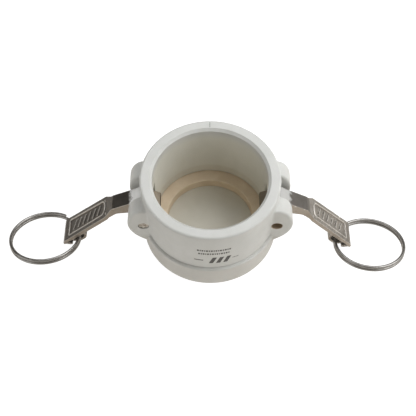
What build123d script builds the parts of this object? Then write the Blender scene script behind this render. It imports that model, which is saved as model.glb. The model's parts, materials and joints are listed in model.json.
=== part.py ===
from build123d import *
import os
from math import atan2, cos, degrees, pi, radians, sin

# A 2 inch cam-and-groove dust cap (female, closed end): a moulded plastic cup with two pairs of ears,
# a flat gasket in its floor, two cast cam arms on cross pins, and a split finger ring in each arm.
# Millimetres. The origin is the centre of the closed end's flat outer face. +Z points out of the
# mouth, +X towards the right arm, and -Y towards the front.

# ---- cup -------------------------------------------------------------------------------------
CUP_HEIGHT = 52.3
BORE_R = 32.0  # guides the 63 mm nose of a 2 inch adapter
MOUTH_LAND_FOOT_Z = 39.5  # the bore widens a little below this height
RELIEF_Z = 28.0
RELIEVED_BORE_R = 32.4
RIM_R = 38.9
RIM_ROUND = 1.3
MOUTH_CHAMFER = 1.5
BARREL_FOOT_R = 38.1
CREASE_Z = 18.0
CREASE_R = 37.8
CREASE_HEIGHT = 0.6
FLANGE_R = 39.8
FLANGE_ROUND = 1.1
BASE_R = 39.5
BASE_ROUND = 1.4
FLOOR_THICKNESS = 3.8
GASKET_GROOVE_R = 33.6
GASKET_GROOVE_TOP = 10.9

# ---- gasket ----------------------------------------------------------------------------------
GASKET_OUTER_R = 33.35
GASKET_INNER_R = 25.4
GASKET_THICKNESS = 6.35  # the standard quarter inch
GASKET_ROUND = 0.5

# ---- ears, and the windows that let the cams through the barrel's wall -----------------------
EAR_INNER_Y = 6.9
EAR_OUTER_Y = 17.4
EAR_ROOT_X = 33.3  # inside the barrel wall
EAR_ROUND = 1.3
EAR_ROOT_FILLET = 1.5
# The ear's outline seen along Y, from its top corner round to its foot.
EAR_TOP = (37.4, 43.2)
EAR_OUTLINE = [(40.6, 42.3), (43.6, 39.2), (45.6, 34.6), (46.4, 29.2), (45.7, 24.0), (43.2, 18.6)]
EAR_FOOT = (37.2, 12.4)
WINDOW_HALF_WIDTH = 6.0
WINDOW_FOOT_Z = CREASE_Z + 0.2
WINDOW_TOP_Z = 38.0
WINDOW_DEPTH = 20.0

# ---- pivot pins ------------------------------------------------------------------------------
PIN_X = 37.45
PIN_Z = 28.5
PIN_R = 3.175  # quarter inch
PIN_LENGTH = 30.4
PIN_CHAMFER = 0.4
PRESS_FIT = 0.02  # radial interference in the ears
LEFT_PIN_FRONT_Y = -16.9  # driven almost flush
RIGHT_PIN_FRONT_Y = -14.1  # driven about 3 mm below the ear's face

# ---- cam arms, drawn lying along +X with the pin axis at the origin and Z up -----------------
ARM_RUNNING_CLEARANCE = 0.06
HEAD_R = 7.0
NECK_HALF_WIDTH = 4.7
HEAD_TOP = (1.0, 6.8)  # where the arm's top line leaves the head
HEAD_FILL = [(0.0, 6.0), (-5.5, 0.0)]  # inside the head's disc, behind the cam's edge
NECK_TOP_ROOT = (8.0, 7.6)
NECK_TOP_BEND = (17.0, 8.6)
PADDLE_START = (23.0, 7.2)
PADDLE_TIP = (62.2, 0.1)
PADDLE_THICKNESS = 2.7
NECK_UNDER_ROOT = (8.0, -1.7)
NECK_UNDER_BEND = (17.0, 2.6)
# The cam's edge as (angle from the arm, distance from the pin), from the part that enters the bore
# first to the part that presses hardest.
CAM_EDGE = [(205, 7.5), (213, 8.8), (221, 9.2), (233, 9.5), (245, 9.8), (257, 9.9), (267, 9.6)]
CAM_HEEL = (4.4, -5.4)
OPEN_FLAT_ANGLE = 159.0  # the flat that faces the bore when the arm is fully open
OPEN_FLAT_DEPTH = 5.2
PADDLE_HALF_WIDTH_START = 7.3
PADDLE_HALF_WIDTH_TIP = 7.9
SHOULDER_START = 18.5
SHOULDER_END = 24.0
SHOULDER_ROUND = 4.0
# The tip's curled lip, from the top surface round its outside to the hollow under the paddle.
LIP = [
    (64.4, -1.2),
    (66.0, -3.8),
    (66.4, -6.4),
    (66.0, -8.8),
    (64.9, -9.6),
    (63.6, -7.6),
    (62.5, -5.0),
    (60.6, -2.6),
]
LIP_START = 60.0
LIP_END = 66.4
# The lip's half width at some heights: it narrows downwards so that the finger ring clears it.
LIP_TAPER = [(8.0, -1.6), (7.4, -3.1), (6.2, -4.8), (5.1, -7.8), (4.5, -9.8)]
TIP_CORNER = 2.5

# The eye under the tip: an obround hole along Y with a thin wall round it.
EYE_INNER_END = (57.8, -5.6)
EYE_LENGTH = 2.2  # between the centres of the hole's round ends
EYE_HOLE_R = 4.25
EYE_WALL = 1.6
EYE_HALF_WIDTH = 2.5
LEFT_WIRE_IN_EYE = (56.6, -6.3)  # where each finger ring passes through at rest
RIGHT_WIRE_IN_EYE = (58.2, -7.0)

# The panel on top of the paddle: a raised border round a shallow recess.
PANEL_START = 1.0
PANEL_END = 36.2
PANEL_HALF_WIDTH_START = 4.9
PANEL_HALF_WIDTH_END = 5.7
PANEL_START_ROUND = 3.2
PANEL_END_ROUND = 1.2
BORDER_WIDTH = 0.8
BORDER_HEIGHT = 0.3
PANEL_DEPTH = 0.3

# ---- how far each arm hangs below horizontal at rest, in degrees ------------------------------
LEFT_ARM_DROOP = 34.75
RIGHT_ARM_DROOP = 38.9

# ---- split finger rings ----------------------------------------------------------------------
RING_MEAN_R = 20.8
RING_WIRE_R = 0.95
TURN_GAP = 0.1
CROSSOVER_ANGLE = 28.0  # length of the step from the lower turn to the upper, in degrees
WIRE_END_GAP = 4.0  # degrees from each end of the wire to that step
RING_LEAN = 17.0  # degrees each ring leans about X, its back edge lower
LEFT_RING_TURN = 13.8  # degrees that the ring's centre lies forward of the eye
RIGHT_RING_TURN = 21.5
LEFT_WIRE_START = 18.0  # where the lower turn starts, in degrees round the ring
RIGHT_WIRE_START = 136.0


def side_polygon(points, half_width):
    """A closed outline in the XZ plane made into a slab that is centred on Y = 0."""
    outline = Polyline(*[(x, 0, z) for x, z in points], close=True)
    return extrude(make_face(outline), half_width, dir=(0, 1, 0), both=True)


def revolved(points):
    """A half section in the XZ plane turned about Z."""
    return revolve(make_face(Polyline(*[(x, 0, z) for x, z in points], close=True)), Axis.Z)


def ear_block(y_inner, y_outer):
    """One ear on the right-hand side, between two distances from the middle plane."""
    edge = Spline(*[(x, y_inner, z) for x, z in [EAR_TOP, *EAR_OUTLINE, EAR_FOOT]])
    root = Polyline(
        (EAR_FOOT[0], y_inner, EAR_FOOT[1]),
        (EAR_ROOT_X, y_inner, EAR_FOOT[1]),
        (EAR_ROOT_X, y_inner, EAR_TOP[1]),
        (EAR_TOP[0], y_inner, EAR_TOP[1]),
    )
    return extrude(make_face([edge, root]), y_outer - y_inner, dir=(0, 1, 0))


def outer_cup():
    body = revolved([
        (0, 0),
        (BASE_R, 0),
        (FLANGE_R, CREASE_Z - CREASE_HEIGHT),
        (CREASE_R, CREASE_Z - CREASE_HEIGHT / 2),
        (BARREL_FOOT_R, CREASE_Z + CREASE_HEIGHT / 2),
        (RIM_R, CUP_HEIGHT),
        (0, CUP_HEIGHT),
    ])
    circles = body.edges().filter_by(GeomType.CIRCLE)
    rim = [e for e in circles if abs(e.center().Z - CUP_HEIGHT) < 0.01]
    base = [e for e in circles if abs(e.center().Z) < 0.01]
    shoulder = [e for e in circles if abs(e.radius - FLANGE_R) < 0.01]
    body = fillet(rim, RIM_ROUND)
    body = body.fillet(BASE_ROUND, base)
    return body.fillet(FLANGE_ROUND, shoulder)


def cavity():
    return revolved([
        (0, FLOOR_THICKNESS),
        (GASKET_GROOVE_R, FLOOR_THICKNESS),
        (GASKET_GROOVE_R, GASKET_GROOVE_TOP),
        (RELIEVED_BORE_R, GASKET_GROOVE_TOP),
        (RELIEVED_BORE_R, RELIEF_Z),
        (BORE_R, MOUTH_LAND_FOOT_Z),
        (BORE_R, CUP_HEIGHT - MOUTH_CHAMFER),
        (BORE_R + MOUTH_CHAMFER, CUP_HEIGHT),
        (BORE_R + MOUTH_CHAMFER, CUP_HEIGHT + 1),
        (0, CUP_HEIGHT + 1),
    ])


def rounded_ear():
    ear = ear_block(EAR_INNER_Y, EAR_OUTER_Y)
    outline = [e for e in ear.edges() if e.geom_type == GeomType.BSPLINE]
    return ear.fillet(EAR_ROUND, outline)


def ear_roots(body):
    """The long upright edges where the ears' outer faces run into the barrel."""
    curved = [e for e in body.edges() if e.geom_type == GeomType.HYPERBOLA and e.length > EAR_OUTER_Y]
    return [e for e in curved if abs(abs(e.center().Y) - EAR_OUTER_Y) < 0.01]


def cup():
    ear = rounded_ear()
    body = outer_cup() + ear + mirror(ear, Plane.XZ)
    body = body + mirror(ear, Plane.YZ) + mirror(mirror(ear, Plane.XZ), Plane.YZ)
    body = body.fillet(EAR_ROOT_FILLET, ear_roots(body)) - cavity()
    window = Box(WINDOW_DEPTH, 2 * WINDOW_HALF_WIDTH, WINDOW_TOP_Z - WINDOW_FOOT_Z)
    pin_hole = Rot(90, 0, 0) * Cylinder(PIN_R - PRESS_FIT, 4 * EAR_OUTER_Y)
    for side in (-1, 1):
        body = body - Pos(side * PIN_X, 0, (WINDOW_FOOT_Z + WINDOW_TOP_Z) / 2) * window
        body = body - Pos(side * PIN_X, 0, PIN_Z) * pin_hole
    return body


def gasket():
    ring = Cylinder(GASKET_OUTER_R, GASKET_THICKNESS) - Cylinder(GASKET_INNER_R, GASKET_THICKNESS)
    ring = fillet(ring.edges(), GASKET_ROUND)
    return Pos(0, 0, FLOOR_THICKNESS + GASKET_THICKNESS / 2) * ring


def pivot_pin(x, front_y):
    pin = chamfer(Cylinder(PIN_R, PIN_LENGTH).edges(), PIN_CHAMFER)
    return Pos(x, front_y + PIN_LENGTH / 2, PIN_Z) * Rot(90, 0, 0) * pin


def cam_head():
    """The disc round the pin with the cam on it, cut back by the flat that clears the bore."""
    disc = Rot(90, 0, 0) * Cylinder(HEAD_R, 2 * NECK_HALF_WIDTH)
    edge_points = [(r * cos(radians(a)), -NECK_HALF_WIDTH, r * sin(radians(a))) for a, r in CAM_EDGE]
    corners = [edge_points[-1]]
    for x, z in (CAM_HEEL, NECK_UNDER_ROOT, NECK_TOP_ROOT, *HEAD_FILL):
        corners.append((x, -NECK_HALF_WIDTH, z))
    corners.append(edge_points[0])
    outline = make_face([Spline(*edge_points), Polyline(*corners)])
    cam = extrude(outline, 2 * NECK_HALF_WIDTH, dir=(0, 1, 0))
    block = 4 * HEAD_R
    flat = Rot(0, -OPEN_FLAT_ANGLE, 0) * Pos(OPEN_FLAT_DEPTH + block / 2, 0, 0) * Box(block, block, block)
    return disc + cam - flat


def arm_plan():
    """The arm's outline from above: the narrow neck, the shoulder and the paddle."""
    half = [
        (-2 * HEAD_R, NECK_HALF_WIDTH),
        (SHOULDER_START, NECK_HALF_WIDTH),
        (SHOULDER_END, PADDLE_HALF_WIDTH_START),
        (LIP_END, PADDLE_HALF_WIDTH_TIP),
    ]
    outline = Polyline(*half, *[(x, -y) for x, y in reversed(half)], close=True)
    block = extrude(make_face(outline), 2 * LIP_END, both=True)
    uprights = block.edges().filter_by(Axis.Z)
    block = block.fillet(TIP_CORNER, [e for e in uprights if e.center().X > LIP_END - 1])
    uprights = block.edges().filter_by(Axis.Z)
    shoulders = [e for e in uprights if 0 < e.center().X < SHOULDER_END + 1]
    return block.fillet(SHOULDER_ROUND, shoulders)


def panel_outline(inset):
    """The border line's outline in the paddle's own plane, shrunk by inset, as a face."""
    start, end = PANEL_START + inset, PANEL_END - inset
    narrow, wide = PANEL_HALF_WIDTH_START - inset, PANEL_HALF_WIDTH_END - inset
    corners = [(start, -narrow), (end, -wide), (end, wide), (start, narrow)]
    face = make_face(Polyline(*corners, close=True))
    middle = (start + end) / 2
    face = fillet([v for v in face.vertices() if v.X < middle], PANEL_START_ROUND - inset / 2)
    return fillet([v for v in face.vertices() if v.X > middle], PANEL_END_ROUND - inset / 2)


def with_panel(bar, slope):
    top = Plane(
        origin=(PADDLE_START[0], 0, PADDLE_START[1]),
        x_dir=(cos(slope), 0, sin(slope)),
        z_dir=(-sin(slope), 0, cos(slope)),
    )
    border = top * Pos(0, 0, -BORDER_HEIGHT) * extrude(panel_outline(0), 2 * BORDER_HEIGHT)
    recess = top * Pos(0, 0, -PANEL_DEPTH) * extrude(panel_outline(BORDER_WIDTH), 4 * PANEL_DEPTH)
    return bar + border - recess


def eye_slab(radius, half_width):
    slope = degrees(atan2(PADDLE_TIP[1] - PADDLE_START[1], PADDLE_TIP[0] - PADDLE_START[0]))
    slot = Rot(0, 0, slope) * Pos(EYE_LENGTH / 2, 0) * SlotCenterToCenter(EYE_LENGTH, 2 * radius)
    return extrude(Plane.XZ * Pos(*EYE_INNER_END) * slot, half_width, both=True)


def lip_sides():
    """What is trimmed off both sides of the curled lip."""
    far = 2 * PADDLE_HALF_WIDTH_TIP
    points = [(LIP_START, y, z) for y, z in LIP_TAPER]
    corners = [points[-1], (LIP_START, far, points[-1][2]), (LIP_START, far, points[0][2]), points[0]]
    outline = make_face([Spline(*points), Polyline(*corners)])
    block = extrude(outline, 2 * LIP_END, dir=(1, 0, 0))
    return block + mirror(block, Plane.XZ)


def arm():
    slope = atan2(PADDLE_TIP[1] - PADDLE_START[1], PADDLE_TIP[0] - PADDLE_START[0])
    down = (PADDLE_THICKNESS * sin(slope), -PADDLE_THICKNESS * cos(slope))
    bar = side_polygon(
        [
            HEAD_TOP,
            NECK_TOP_ROOT,
            NECK_TOP_BEND,
            PADDLE_START,
            PADDLE_TIP,
            *LIP,
            (PADDLE_TIP[0] + down[0], PADDLE_TIP[1] + down[1]),
            (PADDLE_START[0] + down[0], PADDLE_START[1] + down[1]),
            NECK_UNDER_BEND,
            NECK_UNDER_ROOT,
            CAM_HEEL,
        ],
        2 * PADDLE_HALF_WIDTH_TIP,
    )
    bar = with_panel(bar & arm_plan(), slope) - lip_sides()
    body = bar + eye_slab(EYE_HOLE_R + EYE_WALL, EYE_HALF_WIDTH) + cam_head()
    pin_bore = Rot(90, 0, 0) * Cylinder(PIN_R + ARM_RUNNING_CLEARANCE, 4 * NECK_HALF_WIDTH)
    return body - eye_slab(EYE_HOLE_R, 2 * PADDLE_HALF_WIDTH_TIP) - pin_bore


def placed_arm(side):
    if side > 0:
        return Pos(PIN_X, 0, PIN_Z) * Rot(0, RIGHT_ARM_DROOP, 0) * arm()
    return Pos(-PIN_X, 0, PIN_Z) * Rot(0, -LEFT_ARM_DROOP, 0) * Rot(0, 0, 180) * arm()


def on_ring(angle, height):
    return RING_MEAN_R * cos(radians(angle)), RING_MEAN_R * sin(radians(angle)), height


def finger_ring():
    """Two turns of round wire about Z, wound clockwise and upwards from angle zero."""
    half_step = RING_WIRE_R + TURN_GAP / 2
    turn = 360 - CROSSOVER_ANGLE - 2 * WIRE_END_GAP
    lower = CenterArc((0, 0, -half_step), RING_MEAN_R, 0, -turn)
    upper = CenterArc((0, 0, half_step), RING_MEAN_R, -turn - CROSSOVER_ANGLE, -turn)
    quarters = [
        on_ring(-turn - f * CROSSOVER_ANGLE, -half_step * cos(pi * f)) for f in (0.25, 0.5, 0.75)
    ]
    step = Spline(lower @ 1, *quarters, upper @ 0, tangents=[lower % 1, upper % 0])
    section = Plane(origin=lower @ 0, z_dir=lower % 0) * Circle(RING_WIRE_R)
    return sweep(section, Wire([lower, step, upper]))


def wire_position(side):
    """Where the finger ring passes through its arm's eye."""
    droop = radians(RIGHT_ARM_DROOP if side > 0 else LEFT_ARM_DROOP)
    along, up = RIGHT_WIRE_IN_EYE if side > 0 else LEFT_WIRE_IN_EYE
    x = PIN_X + along * cos(droop) + up * sin(droop)
    z = PIN_Z - along * sin(droop) + up * cos(droop)
    return side * x, 0.0, z


def placed_ring(side):
    turn = RIGHT_RING_TURN if side > 0 else LEFT_RING_TURN
    start = RIGHT_WIRE_START if side > 0 else LEFT_WIRE_START
    reach = Rot(0, 0, -side * turn) * Pos(side * RING_MEAN_R, 0, 0) * Rot(0, 0, side * turn)
    return Pos(*wire_position(side)) * Rot(-RING_LEAN, 0, 0) * reach * Rot(0, 0, start) * finger_ring()


nodes = {
    "cap_body": cup(),
    "gasket": gasket(),
    "pivot_pin_left": pivot_pin(-PIN_X, LEFT_PIN_FRONT_Y),
    "pivot_pin_right": pivot_pin(PIN_X, RIGHT_PIN_FRONT_Y),
    "cam_arm_left": placed_arm(-1),
    "cam_arm_right": placed_arm(1),
    "finger_ring_left": placed_ring(-1),
    "finger_ring_right": placed_ring(1),
}
os.makedirs("parts", exist_ok=True)
for name, shape in nodes.items():
    shape.label = name
    export_step(shape, f"parts/{name}.step")
    print(name, round(shape.volume, 1), "mm3", len(shape.solids()), "solid")
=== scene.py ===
import itertools
import json
import math

import bmesh
import bpy
from mathutils import Euler, Matrix, Vector

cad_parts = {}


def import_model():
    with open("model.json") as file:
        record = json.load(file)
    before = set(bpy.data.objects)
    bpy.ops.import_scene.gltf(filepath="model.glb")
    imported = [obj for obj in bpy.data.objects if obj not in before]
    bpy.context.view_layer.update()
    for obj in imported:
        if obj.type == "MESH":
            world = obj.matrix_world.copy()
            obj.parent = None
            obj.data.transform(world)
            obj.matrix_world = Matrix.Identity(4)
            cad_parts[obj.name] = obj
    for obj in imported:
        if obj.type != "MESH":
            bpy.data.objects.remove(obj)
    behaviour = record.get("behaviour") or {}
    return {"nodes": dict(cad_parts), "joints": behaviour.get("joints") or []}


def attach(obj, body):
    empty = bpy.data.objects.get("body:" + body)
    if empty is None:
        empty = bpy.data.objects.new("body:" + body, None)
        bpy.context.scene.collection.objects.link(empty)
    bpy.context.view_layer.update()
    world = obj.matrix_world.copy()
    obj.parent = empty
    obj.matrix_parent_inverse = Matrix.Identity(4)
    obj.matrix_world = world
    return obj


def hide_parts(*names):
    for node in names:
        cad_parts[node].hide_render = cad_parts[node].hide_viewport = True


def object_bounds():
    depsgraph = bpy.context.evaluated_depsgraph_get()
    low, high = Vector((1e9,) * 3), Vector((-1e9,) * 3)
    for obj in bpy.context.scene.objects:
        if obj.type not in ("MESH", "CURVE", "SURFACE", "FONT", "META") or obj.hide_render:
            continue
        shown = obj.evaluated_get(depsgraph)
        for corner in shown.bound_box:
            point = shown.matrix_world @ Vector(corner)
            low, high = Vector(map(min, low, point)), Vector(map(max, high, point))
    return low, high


# The looks of a 2 inch cam-and-groove dust cap: moulded plastic cup, tan gasket, two cast steel cam
# arms and two split finger rings. Metres. +Z points out of the mouth and -Y is the front.

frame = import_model()
cad_low, cad_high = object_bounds()

MM = 0.001
SIDES = {"left": -1, "right": 1}
WHITE = (1.0, 1.0, 1.0)

# How far each arm hangs below level at rest, and where its pin is.
ARM_DROOP = {"left": math.radians(34.75), "right": math.radians(38.9)}
PIVOTS = {j["child"]: Vector(j["pos_m"]) for j in frame["joints"] if j["name"].endswith("arm_pivot")}
PANEL_ORIGIN = Vector((23.0, 0.0, 7.2)) * MM  # the paddle's start, in the arm's own frame
PANEL_SLOPE = math.radians(10.27)  # the paddle's fall towards its tip

# Directions to keep when measuring a distance from an axis.
ACROSS_CUP_AXIS = (1.0, 1.0, 0.0)
ACROSS_PIN_AXIS = (1.0, 0.0, 1.0)


# ---- shader helpers ---------------------------------------------------------------------------
class Nodes:
    """A node tree and short ways to add to it. A value is a socket, a number, a vector or a colour."""

    def __init__(self, tree):
        self.nodes = tree.nodes
        self.links = tree.links

    def node(self, kind, **settings):
        made = self.nodes.new(kind)
        for key, value in settings.items():
            setattr(made, key, value)
        return made

    def feed(self, value, target):
        if isinstance(value, bpy.types.NodeSocket):
            self.links.new(value, target)
        else:
            target.default_value = value

    def maths(self, operation, *values):
        made = self.node("ShaderNodeMath", operation=operation)
        for value, target in zip(values, made.inputs):
            self.feed(value, target)
        return made.outputs["Value"]

    def vector_maths(self, operation, *values, result="Vector"):
        made = self.node("ShaderNodeVectorMath", operation=operation)
        for value, target in zip(values, made.inputs):
            self.feed(value, target)
        return made.outputs[result]

    def times(self, first, second):
        return self.maths("MULTIPLY", first, second)

    def dot(self, first, second):
        return self.vector_maths("DOT_PRODUCT", first, second, result="Value")

    def length(self, vector):
        return self.vector_maths("LENGTH", vector, result="Value")

    def mix(self, amount, first, second, blend="MIX"):
        """Two colours mixed by a number."""
        mixed = self.node("ShaderNodeMix", data_type="RGBA", blend_type=blend)
        targets = {s.identifier: s for s in mixed.inputs}
        self.feed(amount, targets["Factor_Float"])
        for name, colour in (("A_Color", first), ("B_Color", second)):
            plain = isinstance(colour, tuple)
            self.feed((*colour, 1.0) if plain else colour, targets[name])
        return next(s for s in mixed.outputs if s.identifier == "Result_Color")

    def ramp(self, source, *stops):
        """source mapped through (position, colour) stops."""
        ramp = self.node("ShaderNodeValToRGB")
        elements = ramp.color_ramp.elements
        while len(elements) < len(stops):
            elements.new(0.5)
        for element, (position, colour) in zip(elements, stops):
            element.position = position
            element.color = (*colour, 1.0)
        self.feed(source, ramp.inputs["Fac"])
        return ramp.outputs["Color"]

    def span(self, source, low, high, out_low, out_high):
        """source between low and high mapped to a number between out_low and out_high."""
        ranged = self.node("ShaderNodeMapRange", clamp=True)
        self.feed(source, ranged.inputs["Value"])
        limits = {"From Min": low, "From Max": high, "To Min": out_low, "To Max": out_high}
        for name, limit in limits.items():
            ranged.inputs[name].default_value = limit
        return ranged.outputs["Result"]


class Shader(Nodes):
    """A Principled material and patterns for it in the piece's own metres."""

    def __init__(self, name, **settings):
        self.material = bpy.data.materials.new(name)
        self.material.use_nodes = True
        super().__init__(self.material.node_tree)
        self.principled = self.nodes["Principled BSDF"]
        for socket, value in settings.items():
            self.principled.inputs[socket.replace("_", " ")].default_value = value
        self.place = self.node("ShaderNodeTexCoord").outputs["Object"]

    def noise(self, size, detail=4.0, roughness=0.55, stretch=None):
        """A cloudy pattern whose features are about size metres across."""
        texture = self.node("ShaderNodeTexNoise")
        texture.inputs["Scale"].default_value = 1.0 / size
        texture.inputs["Detail"].default_value = detail
        texture.inputs["Roughness"].default_value = roughness
        place = self.place
        if stretch:
            mapping = self.node("ShaderNodeMapping")
            mapping.inputs["Scale"].default_value = stretch
            self.feed(place, mapping.inputs["Vector"])
            place = mapping.outputs["Vector"]
        self.feed(place, texture.inputs["Vector"])
        return texture.outputs["Fac"]

    def from_point(self, point, keep):
        """The vector from a point, scaled along each axis by keep."""
        return self.vector_maths("MULTIPLY", self.vector_maths("SUBTRACT", self.place, point), keep)

    def along(self, matrix, axis):
        """How far the surface lies along one axis (0, 1 or 2) of the frame that matrix places."""
        x, y, z, start = matrix.inverted()[axis]
        return self.maths("ADD", self.dot(self.place, (x, y, z)), start)

    def height(self):
        return self.along(Matrix(), 2)

    def edges(self, radius):
        """About 1 along convex and concave edges, 0 on flat stretches."""
        bevel = self.node("ShaderNodeBevel", samples=4)
        bevel.inputs["Radius"].default_value = radius
        geometry = self.node("ShaderNodeNewGeometry")
        agreement = self.dot(bevel.outputs["Normal"], geometry.outputs["Normal"])
        return self.span(agreement, 0.75, 0.99, 1.0, 0.0)

    def bump(self, *layers):
        """Stacks (height, depth in metres) layers of bump on the surface."""
        normal = None
        for height, depth in layers:
            bump = self.node("ShaderNodeBump")
            bump.inputs["Strength"].default_value = 1.0
            bump.inputs["Distance"].default_value = depth
            self.feed(height, bump.inputs["Height"])
            if normal:
                self.feed(normal, bump.inputs["Normal"])
            normal = bump.outputs["Normal"]
        self.feed(normal, self.principled.inputs["Normal"])

    def finish(self, colour, roughness):
        self.feed(colour, self.principled.inputs["Base Color"])
        self.feed(roughness, self.principled.inputs["Roughness"])
        return self.material


# ---- the cup's plastic ------------------------------------------------------------------------
PLASTIC_DARK = (0.575, 0.58, 0.56)
PLASTIC_LIGHT = (0.63, 0.63, 0.61)
PLASTIC_FLOW = (0.55, 0.55, 0.51)
PLASTIC_SPECK = (0.42, 0.41, 0.36)
PLASTIC_WORN = (0.74, 0.74, 0.72)
# Brown grime and painted shade in the right pin's recessed hole.
PIN_HOLE_GRIME_AND_SHADE = (0.40, 0.31, 0.22)
# Painted light: the cup's inner faces are made about a tenth lighter and warmer.
INNER_PAINTED_LIGHT = (1.10, 1.075, 0.995)
# Painted shade: the plastic below the crease is darkened.
FLANGE_PAINTED_SHADE = (0.92, 0.90, 0.88)

CUP_WALL_MIDDLE = (33.0 * MM, 34.5 * MM)
MOUTH_FADE = (44.0 * MM, 50.0 * MM)
CLOSED_END_FADE = (1.0 * MM, 3.0 * MM)
CREASE_FADE = (16.0 * MM, 18.0 * MM)
PIN_HOLE_FADE = (3.22 * MM, 3.42 * MM)


def inside_cup(shader):
    """1 on the cup's inner faces, 0 elsewhere. It places the painted light inside the cup."""
    from_axis = shader.length(shader.from_point((0.0, 0.0, 0.0), ACROSS_CUP_AXIS))
    height = shader.height()
    within = shader.span(from_axis, *CUP_WALL_MIDDLE, 1.0, 0.0)
    below_mouth = shader.times(within, shader.span(height, *MOUTH_FADE, 1.0, 0.0))
    return shader.times(below_mouth, shader.span(height, *CLOSED_END_FADE, 0.0, 1.0))


def moulded_plastic():
    shader = Shader("moulded_plastic", Specular_IOR_Level=0.45)
    clouds = shader.noise(22 * MM, detail=3)
    flow = shader.noise(6 * MM, detail=5, stretch=(1, 1, 0.25))
    specks = shader.noise(0.7 * MM, detail=2)
    colour = shader.ramp(clouds, (0.3, PLASTIC_DARK), (0.7, PLASTIC_LIGHT))
    colour = shader.mix(shader.span(flow, 0.45, 0.75, 0.0, 0.35), colour, PLASTIC_FLOW)
    colour = shader.mix(shader.span(specks, 0.68, 0.76, 0.0, 0.35), colour, PLASTIC_SPECK)
    # Painted light: the inner faces of the cup are lightened and warmed.
    colour = shader.mix(inside_cup(shader), colour, INNER_PAINTED_LIGHT, blend="MULTIPLY")
    # Painted shade on the plastic below the crease.
    below_crease = shader.span(shader.height(), *CREASE_FADE, 1.0, 0.0)
    colour = shader.mix(below_crease, colour, FLANGE_PAINTED_SHADE, blend="MULTIPLY")
    # Grime and painted shade round the right pin's hole.
    from_pin = shader.length(shader.from_point(PIVOTS["arm_right"], ACROSS_PIN_AXIS))
    colour = shader.mix(shader.span(from_pin, *PIN_HOLE_FADE, 1.0, 0.0), colour, PIN_HOLE_GRIME_AND_SHADE)
    scuffs = shader.span(shader.noise(1.6 * MM, detail=6), 0.42, 0.62, 0.0, 0.55)
    colour = shader.mix(shader.times(shader.edges(0.6 * MM), scuffs), colour, PLASTIC_WORN)
    roughness = shader.span(shader.noise(3 * MM, detail=6), 0.3, 0.7, 0.36, 0.52)
    shader.bump((shader.noise(0.35 * MM, detail=3), 0.012 * MM), (flow, 0.05 * MM))
    return shader.finish(colour, roughness)


# ---- the gasket's rubber ----------------------------------------------------------------------
RUBBER_DARK = (0.66, 0.53, 0.38)
RUBBER_LIGHT = (0.76, 0.63, 0.47)
RUBBER_DUST = (0.80, 0.70, 0.54)
RUBBER_EDGE = (0.40, 0.29, 0.20)


def tan_rubber():
    shader = Shader("tan_rubber", Specular_IOR_Level=0.35)
    clouds = shader.noise(9 * MM, detail=5)
    dust = shader.noise(0.5 * MM, detail=4)
    colour = shader.ramp(clouds, (0.3, RUBBER_DARK), (0.7, RUBBER_LIGHT))
    colour = shader.mix(shader.span(dust, 0.55, 0.75, 0.0, 0.5), colour, RUBBER_DUST)
    colour = shader.mix(shader.span(shader.edges(0.5 * MM), 0, 1, 0.0, 0.4), colour, RUBBER_EDGE)
    roughness = shader.span(shader.noise(2 * MM, detail=5), 0.3, 0.7, 0.58, 0.78)
    shader.bump((shader.noise(0.3 * MM, detail=4), 0.02 * MM), (clouds, 0.06 * MM))
    return shader.finish(colour, roughness)


# ---- the arms' cast steel ---------------------------------------------------------------------
# The left arm's tones are darker than the right's: painted shade on the left arm.
CAST_DARK_LEFT_SHADED = {"left": (0.13, 0.12, 0.108), "right": (0.24, 0.222, 0.20)}
CAST_LIGHT_LEFT_SHADED = {"left": (0.18, 0.167, 0.152), "right": (0.36, 0.338, 0.31)}
# Painted reflection of a tan floor on the arms' side faces.
TAN_FLOOR_REFLECTION = (0.37, 0.32, 0.265)
CAST_STAIN = (0.26, 0.205, 0.155)
BRIGHT_EDGE = (0.72, 0.69, 0.65)
DARK_HOLLOW = (0.10, 0.085, 0.07)
WORN_CREST = (0.66, 0.63, 0.59)
# Painted shade on the top of the neck, on the right arm only.
NECK_TOP_SHADE = (0.07, 0.062, 0.055)
NECK_TOP_SHADE_AMOUNT = {"left": 0.0, "right": 0.65}
CAM_NOSE = (0.27, 0.225, 0.17)
# Painted highlight on the head round the pin, brighter on the left arm.
HEAD_PAINTED_HIGHLIGHT = {"left": (0.93, 0.93, 0.92), "right": (0.52, 0.515, 0.50)}
GROUND_METALLIC = 0.2
GROUND_ROUGHER = 0.36

SIDE_FACE = (0.55, 0.85)  # how squarely a face looks sideways
NECK_FADE = (-4.5 * MM, -2.5 * MM)  # along the arm, from the paddle's start
PADDLE_FADE = (0.0, 0.5 * MM)
CREST_FADE = (0.12 * MM, 0.24 * MM)  # height over the paddle
HEAD_FADE = (8.0 * MM, 9.3 * MM)  # distance from the pin's axis
HEAD_RAGGED = 0.8 * MM
OUTER_FADE = (-1.0 * MM, 0.5 * MM)  # outwards from the pin's axis
NOSE_FADE = (-5.0 * MM, -2.5 * MM)


def looking_sideways(shader):
    """How squarely a face looks along Y, from 0 to 1."""
    normal = shader.node("ShaderNodeTexCoord").outputs["Normal"]
    return shader.maths("ABSOLUTE", shader.dot(normal, (0.0, 1.0, 0.0)))


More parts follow.
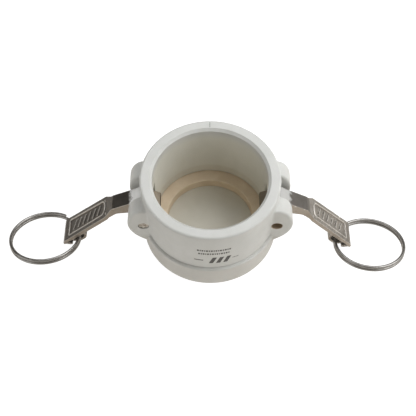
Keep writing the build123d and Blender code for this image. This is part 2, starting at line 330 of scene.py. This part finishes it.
def cast_skin(shader, side, sideways, stain):
    """Tumbled metal: a painted reflection of a tan floor on the side faces, stains, bright edges and
    dark hollows.
    """
    clouds = shader.noise(7 * MM, detail=5)
    bulge = shader.node("ShaderNodeNewGeometry").outputs["Pointiness"]
    # Random tone, with painted shade darkening the left arm.
    colour = shader.ramp(clouds, (0.3, CAST_DARK_LEFT_SHADED[side]), (0.7, CAST_LIGHT_LEFT_SHADED[side]))
    # Painted reflection of a tan floor on faces that look sideways.
    colour = shader.mix(shader.span(sideways, *SIDE_FACE, 0.0, 0.75), colour, TAN_FLOOR_REFLECTION)
    colour = shader.mix(shader.span(stain, 0.56, 0.70, 0.0, 0.6), colour, CAST_STAIN)
    colour = shader.mix(shader.span(bulge, 0.515, 0.56, 0.0, 0.9), colour, BRIGHT_EDGE)
    return shader.mix(shader.span(bulge, 0.44, 0.485, 0.75, 0.0), colour, DARK_HOLLOW)


def neck_and_panel(shader, side, sideways, colour):
    """Paints shade on the neck's top and brightens the panel's border and ribs."""
    panel = panel_to_row(side)
    past_neck = shader.along(panel, 0)
    on_neck = shader.span(past_neck, *NECK_FADE, NECK_TOP_SHADE_AMOUNT[side], 0.0)
    neck_shade = shader.times(on_neck, shader.span(sideways, *SIDE_FACE, 1.0, 0.0))
    # Painted shade on the neck's top, not on its side faces.
    colour = shader.mix(neck_shade, colour, NECK_TOP_SHADE)
    on_paddle = shader.span(past_neck, *PADDLE_FADE, 0.0, 1.0)
    crest = shader.span(shader.along(panel, 2), *CREST_FADE, 0.0, 0.85)
    return shader.mix(shader.times(on_paddle, crest), colour, WORN_CREST)


def outer_head(shader, side, stain, from_pin, outward):
    """1 on the head's outer half round the pin, where a highlight is painted, with a ragged edge."""
    ragged = shader.span(stain, 0.3, 0.7, -HEAD_RAGGED, HEAD_RAGGED)
    distance = shader.maths("ADD", shader.length(from_pin), ragged)
    near_pin = shader.span(distance, *HEAD_FADE, 1.0, 0.0)
    return shader.times(near_pin, shader.span(outward, *OUTER_FADE, 0.0, 1.0))


def cast_steel(side):
    """Tumbled casting with dark hollows. Its head, round the pin, has a painted highlight and a less
    metallic, rougher finish.
    """
    shader = Shader(f"cast_steel_{side}", Metallic=1.0)
    stain = shader.noise(2.2 * MM, detail=6)
    grain = shader.noise(0.42 * MM, detail=5)
    sideways = looking_sideways(shader)
    from_pin = shader.from_point(PIVOTS[f"arm_{side}"], ACROSS_PIN_AXIS)
    outward = shader.dot(from_pin, (SIDES[side], 0.0, 0.0))
    ground_and_highlight = outer_head(shader, side, stain, from_pin, outward)
    colour = cast_skin(shader, side, sideways, stain)
    colour = neck_and_panel(shader, side, sideways, colour)
    colour = shader.mix(shader.span(outward, *NOSE_FADE, 0.8, 0.0), colour, CAM_NOSE)
    # Painted highlight on the head's outer half.
    colour = shader.mix(ground_and_highlight, colour, HEAD_PAINTED_HIGHLIGHT[side])
    metallic = shader.span(ground_and_highlight, 0.0, 1.0, 1.0, GROUND_METALLIC)
    shader.feed(metallic, shader.principled.inputs["Metallic"])
    roughness = shader.span(grain, 0.3, 0.7, 0.32, 0.50)
    roughness = shader.maths("MULTIPLY_ADD", ground_and_highlight, GROUND_ROUGHER, roughness)
    shader.bump((grain, 0.05 * MM), (shader.noise(1.8 * MM, detail=3), 0.10 * MM))
    return shader.finish(colour, roughness)


# ---- the pins, the rings and the marks --------------------------------------------------------
# The right pin's colours are darkened with painted shade as well as stain.
PIN_COLOURS = {  # stained, middle and bright metal
    "left": ((0.20, 0.165, 0.13), (0.42, 0.38, 0.33), (0.72, 0.70, 0.66)),
    "right": ((0.035, 0.022, 0.012), (0.085, 0.055, 0.03), (0.17, 0.115, 0.065)),
}
PIN_MATERIAL = {"left": "bright_pin", "right": "stained_and_shaded_pin"}
WIRE_DARK = (0.25, 0.238, 0.225)
WIRE_LIGHT = (0.35, 0.338, 0.322)
WIRE_SCRATCH = (0.34, 0.32, 0.30)
INK_THICK = (0.035, 0.033, 0.032)
INK_THIN = (0.20, 0.195, 0.185)
PENCIL_THICK = (0.25, 0.26, 0.235)
PENCIL_THIN = (0.48, 0.49, 0.46)


def cut_steel(side):
    """A pin's cut ends, from dark stains to bright metal. The right pin's colours also carry painted
    shade.
    """
    shader = Shader(PIN_MATERIAL[side], Metallic=1.0)
    mottle = shader.noise(1.1 * MM, detail=6)
    colour = shader.ramp(mottle, *zip((0.35, 0.5, 0.68), PIN_COLOURS[side]))
    roughness = shader.span(shader.noise(0.6 * MM, detail=4), 0.3, 0.7, 0.30, 0.55)
    shader.bump((mottle, 0.12 * MM), (shader.noise(0.25 * MM, detail=3), 0.03 * MM))
    return shader.finish(colour, roughness)


def drawn_wire():
    shader = Shader("drawn_wire", Metallic=1.0)
    clouds = shader.noise(5 * MM, detail=4)
    scratches = shader.noise(0.3 * MM, detail=6)
    colour = shader.ramp(clouds, (0.3, WIRE_DARK), (0.7, WIRE_LIGHT))
    colour = shader.mix(shader.span(scratches, 0.60, 0.75, 0.0, 0.5), colour, WIRE_SCRATCH)
    roughness = shader.span(scratches, 0.3, 0.7, 0.26, 0.40)
    shader.bump((scratches, 0.004 * MM), (clouds, 0.02 * MM))
    return shader.finish(colour, roughness)


def mark(name, patch_size, thick, thin, low_roughness):
    """Ink or pencil that lies in patches. thick and thin are (position, colour) stops."""
    shader = Shader(name, Specular_IOR_Level=0.3)
    patches = shader.noise(patch_size, detail=5)
    roughness = shader.span(patches, 0.3, 0.7, low_roughness, 0.7)
    shader.bump((patches, 0.01 * MM))
    return shader.finish(shader.ramp(patches, thick, thin), roughness)


# ---- mesh helpers -----------------------------------------------------------------------------
def new_piece(shape, name, material, body):
    """A visible piece from a bmesh, which is freed."""
    mesh = bpy.data.meshes.new(name)
    shape.to_mesh(mesh)
    shape.free()
    piece = bpy.data.objects.new(name, mesh)
    bpy.context.scene.collection.objects.link(piece)
    mesh.materials.append(material)
    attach(piece, body)
    return piece


def apply_modifiers(piece):
    depsgraph = bpy.context.evaluated_depsgraph_get()
    mesh = bpy.data.meshes.new_from_object(piece.evaluated_get(depsgraph))
    piece.modifiers.clear()
    old = piece.data
    piece.data = mesh
    bpy.data.meshes.remove(old)


def add_box(shape, matrix):
    """A unit cube, sized and placed by matrix."""
    corners = bmesh.ops.create_cube(shape, size=1.0)["verts"]
    bmesh.ops.transform(shape, matrix=matrix, verts=corners)


def arm_to_row(side):
    """The matrix from an arm's own frame, pin at the origin and arm along +X, to the row's frame."""
    pivot = Matrix.Translation(PIVOTS[f"arm_{side}"])
    droop = Matrix.Rotation(SIDES[side] * ARM_DROOP[side], 4, "Y")
    turned = Matrix.Rotation(0.0 if side == "right" else math.pi, 4, "Z")
    return pivot @ droop @ turned


def panel_to_row(side):
    """The matrix from the paddle's top plane, X towards the tip, to the row's frame."""
    return arm_to_row(side) @ Matrix.Translation(PANEL_ORIGIN) @ Matrix.Rotation(PANEL_SLOPE, 4, "Y")


# ---- the arms ---------------------------------------------------------------------------------
RIB_PITCH = 4.6 * MM
RIB_COUNT = 6
RIB_START = 7.0 * MM
RIB_SIZE = Vector((1.0, 6.2, 0.9)) * MM
RIB_SLANT = math.radians(-24)
RIB_HEIGHT = -0.25 * MM
WELD_DISTANCE = 1e-6
CAST_VOXEL = 0.18 * MM
CAST_SMOOTHING = 4
CAST_KEEP = 0.35  # share of the faces kept after smoothing


def add_ribs(shape, side):
    """Slanted grip ribs that stand in the panel's recess."""
    turn = Matrix.Rotation(RIB_SLANT, 4, "Z")
    size = Matrix.Diagonal((*RIB_SIZE, 1.0))
    for i in range(RIB_COUNT):
        place = Matrix.Translation((RIB_START + i * RIB_PITCH, 0, RIB_HEIGHT))
        add_box(shape, panel_to_row(side) @ place @ turn @ size)


def cast_arm(side):
    """The arm as a casting: the CAD's shape with grip ribs, all its edges softened."""
    node = f"cam_arm_{side}"
    shape = bmesh.new()
    shape.from_mesh(frame["nodes"][node].data)
    bmesh.ops.remove_doubles(shape, verts=shape.verts, dist=WELD_DISTANCE)
    add_ribs(shape, side)
    piece = new_piece(shape, f"cast_{node}", cast_steel(side), f"arm_{side}")
    remesh = piece.modifiers.new("remesh", "REMESH")
    remesh.mode = "VOXEL"
    remesh.voxel_size = CAST_VOXEL
    smooth = piece.modifiers.new("smooth", "SMOOTH")
    smooth.iterations = CAST_SMOOTHING
    smooth.factor = 0.5
    thin = piece.modifiers.new("thin", "DECIMATE")
    thin.ratio = CAST_KEEP
    apply_modifiers(piece)
    for polygon in piece.data.polygons:
        polygon.use_smooth = True
    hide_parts(node)


# ---- printed and pencilled marks on the cup ---------------------------------------------------
BARREL_FOOT = (38.1 * MM, 18.3 * MM)  # radius and height of the wall that the print lies on
BARREL_RIM = (38.9 * MM, 52.3 * MM)
MARK_THICKNESS = 0.04 * MM
MARK_STEP = 0.6 * MM

# Millimetres. Along is the arc from the barrel's middle, positive to the right.
DASH_ROWS = ((38.6, -7.2, 10.6), (34.9, -6.6, 10.9))  # height, start and end
DASH_WIDTHS = (1.0, 0.6, 0.9, 0.5, 1.1, 0.7)
DASH_GAP = 0.45
DASH_TALL = 1.5
LOZENGE_PLACES = (1.4, 5.4, 9.4)
LOZENGE_WIDTH = 2.3
LOZENGE_TALL = 6.6
LOZENGE_SLANT = 2.2
LOZENGE_HEIGHT = 27.2
SIDE_BARS = ((-6.4, 5.0, 0.8), (14.2, 3.6, 0.4))  # along, width and how tall

TICK_PLACE = Vector((-0.2, 35.7, 52.3)) * MM
TICK_SIZE = Vector((0.55, 3.6, 0.06)) * MM


def barrel_point(along, height, lift):
    """A point on the barrel's front, lifted off its wall."""
    share = (height - BARREL_FOOT[1]) / (BARREL_RIM[1] - BARREL_FOOT[1])
    radius = BARREL_FOOT[0] + share * (BARREL_RIM[0] - BARREL_FOOT[0])
    angle = along / radius
    radius += lift
    return Vector((radius * math.sin(angle), -radius * math.cos(angle), height))


def patch_row(shape, along, height, width, lift):
    """Points from one end of a patch to the other, at one height."""
    steps = max(1, round(width / MARK_STEP))
    across = [along + (i / steps - 0.5) * width for i in range(steps + 1)]
    return [shape.verts.new(barrel_point(a, height, lift)) for a in across]


def add_patch(shape, along, height, width, tall, slant=0.0):
    """A thin closed patch on the barrel, in millimetres. slant shifts its top sideways."""
    rows = [
        patch_row(
            shape,
            along * MM + level * slant * MM,
            height * MM + level * tall * MM,
            width * MM,
            lift,
        )
        for lift, level in (
            (-MARK_THICKNESS, -0.5),
            (-MARK_THICKNESS, 0.5),
            (MARK_THICKNESS, 0.5),
            (MARK_THICKNESS, -0.5),
        )
    ]
    for first, second in zip(rows, rows[1:] + rows[:1]):
        for i in range(len(first) - 1):
            shape.faces.new((first[i], first[i + 1], second[i + 1], second[i]))
    for end in (0, -1):
        shape.faces.new([row[end] for row in rows])


def add_dashes(shape, height, start, end):
    along = start
    for width in itertools.cycle(DASH_WIDTHS):
        if along >= end:
            return
        add_patch(shape, along + width / 2, height, width, DASH_TALL)
        along += width + DASH_GAP


def front_print(material):
    """Generic print: two rows of small dashes over a row of plain lozenges between thin bars."""
    shape = bmesh.new()
    for row in DASH_ROWS:
        add_dashes(shape, *row)
    for along in LOZENGE_PLACES:
        add_patch(shape, along, LOZENGE_HEIGHT, LOZENGE_WIDTH, LOZENGE_TALL, LOZENGE_SLANT)
    for along, width, tall in SIDE_BARS:
        add_patch(shape, along, LOZENGE_HEIGHT, width, tall)
    bmesh.ops.recalc_face_normals(shape, faces=shape.faces)
    new_piece(shape, "front_print", material, "cap")


def rim_tick(material):
    """A short pencilled line across the rim's flat top at the back."""
    shape = bmesh.new()
    add_box(shape, Matrix.Translation(TICK_PLACE) @ Matrix.Diagonal((*TICK_SIZE, 1.0)))
    new_piece(shape, "rim_tick", material, "cap")


# ---- stage, lights and camera -----------------------------------------------------------------
FLOOR_GAP = 0.4 * MM
FLOOR_HALF = 20.0
FLOOR_GLOW = 0.95  # a lit table, which keeps the floor white and its shadows faint
FLOOR_GREYS = ((0.24, 0.24, 0.24), (0.26, 0.26, 0.26))
FLOOR_FADE = (0.22, 0.75)  # distance over which its bounce fades
FLOOR_NEAR = (0.84, 0.81, 0.77)
FLOOR_FAR = (0.16, 0.15, 0.14)
FLOOR_NEAR_GLOW = (0.22, 0.21, 0.195)

ROOM_COLOUR = (1.0, 0.97, 0.91)
ROOM_LIGHT = 0.30
ROOM_SLOPE = (0.10, -0.15, 0.0)

LAMP_COLOUR = (0.97, 0.985, 1.0)
LAMP_AIM = Vector((0.0, 0.0, 0.02))
LAMPS = {  # place, width and height, watts
    "key": ((0.50, 0.06, 0.52), (0.60, 0.60), 3.7),
    "fill": ((-0.62, -0.30, 0.28), (0.50, 0.50), 0.9),
    "overhead": ((0.03, 0.36, 0.60), (0.55, 0.30), 1.65),
}

CAMERA_PLACE = Vector((-1.25, -222.61, 387.32)) * MM
CAMERA_TILT = math.radians(31.178)
CAMERA_LENS = 63.75
CAMERA_SENSOR = 36.0


def floor_shader():
    """White to the eye, with faint shadows. Its bounce is strong near the object and fades outwards."""
    shader = Shader("studio_floor", Roughness=0.8, Specular_IOR_Level=0.1, Emission_Strength=FLOOR_GLOW)
    shader.principled.inputs["Emission Color"].default_value = (*WHITE, 1.0)
    greys = shader.ramp(shader.noise(0.4), *zip((0.3, 0.7), FLOOR_GREYS))
    shader.feed(greys, shader.principled.inputs["Base Color"])
    near = shader.span(shader.length(shader.place), *FLOOR_FADE, 1.0, 0.0)
    bounce = shader.node("ShaderNodeBsdfDiffuse")
    shader.feed(shader.mix(near, FLOOR_FAR, FLOOR_NEAR), bounce.inputs["Color"])
    glow = shader.node("ShaderNodeEmission")
    shader.feed(shader.mix(near, (0.0, 0.0, 0.0), FLOOR_NEAR_GLOW), glow.inputs["Color"])
    both = shader.node("ShaderNodeAddShader")
    shader.feed(bounce.outputs["BSDF"], both.inputs[0])
    shader.feed(glow.outputs["Emission"], both.inputs[1])
    chosen = shader.node("ShaderNodeMixShader")
    shader.feed(shader.node("ShaderNodeLightPath").outputs["Is Camera Ray"], chosen.inputs["Fac"])
    shader.feed(both.outputs["Shader"], chosen.inputs[1])
    shader.feed(shader.principled.outputs["BSDF"], chosen.inputs[2])
    shader.feed(chosen.outputs["Shader"], shader.nodes["Material Output"].inputs["Surface"])
    return shader.material


def floor():
    height = cad_low.z - FLOOR_GAP
    corners = [(x, y, height) for x in (-FLOOR_HALF, FLOOR_HALF) for y in (-FLOOR_HALF, FLOOR_HALF)]
    mesh = bpy.data.meshes.new("floor")
    mesh.from_pydata(corners, [], [(0, 2, 3, 1)])
    mesh.materials.append(floor_shader())
    piece = bpy.data.objects.new("floor", mesh)
    bpy.context.scene.collection.objects.link(piece)


def world():
    """A studio room: white to the eye, dim to the lights' reflections, dimmest behind on the left."""
    made = bpy.data.worlds.new("studio")
    bpy.context.scene.world = made
    made.use_nodes = True
    room = Nodes(made.node_tree)
    background = room.nodes["Background"]
    to_the_eye = room.node("ShaderNodeLightPath").outputs["Is Camera Ray"]
    direction = room.node("ShaderNodeTexCoord").outputs["Generated"]
    light = room.maths("ADD", room.dot(direction, ROOM_SLOPE), ROOM_LIGHT)
    room.feed(room.maths("MAXIMUM", light, to_the_eye), background.inputs["Strength"])
    room.feed(room.mix(to_the_eye, ROOM_COLOUR, WHITE), background.inputs["Color"])


def area_light(name, place, size, power):
    data = bpy.data.lights.new(name, "AREA")
    data.shape = "RECTANGLE"
    data.size, data.size_y = size
    data.energy = power
    data.color = LAMP_COLOUR
    light = bpy.data.objects.new(name, data)
    light.location = place
    light.rotation_euler = (LAMP_AIM - Vector(place)).to_track_quat("-Z", "Y").to_euler()
    bpy.context.scene.collection.objects.link(light)


def camera():
    data = bpy.data.cameras.new("camera")
    data.lens = CAMERA_LENS
    data.sensor_width = CAMERA_SENSOR
    made = bpy.data.objects.new("camera", data)
    made.location = CAMERA_PLACE
    made.rotation_euler = Euler((CAMERA_TILT, 0.0, 0.0))
    bpy.context.scene.collection.objects.link(made)
    bpy.context.scene.camera = made


def dress(node, material):
    """Gives a CAD node that stays as it is its finish."""
    for slot in frame["nodes"][node].material_slots:
        slot.link = "OBJECT"
        slot.material = material


wire = drawn_wire()
dress("cap_body", moulded_plastic())
dress("gasket", tan_rubber())
for side in SIDES:
    dress(f"pivot_pin_{side}", cut_steel(side))
    dress(f"finger_ring_{side}", wire)
    cast_arm(side)
front_print(mark("print_ink", 0.5 * MM, (0.4, INK_THICK), (0.72, INK_THIN), 0.45))
rim_tick(mark("pencil_mark", 0.6 * MM, (0.35, PENCIL_THICK), (0.65, PENCIL_THIN), 0.5))

camera()
floor()
world()
for name, settings in LAMPS.items():
    area_light(name, *settings)
bpy.context.scene.view_settings.view_transform = "Standard"
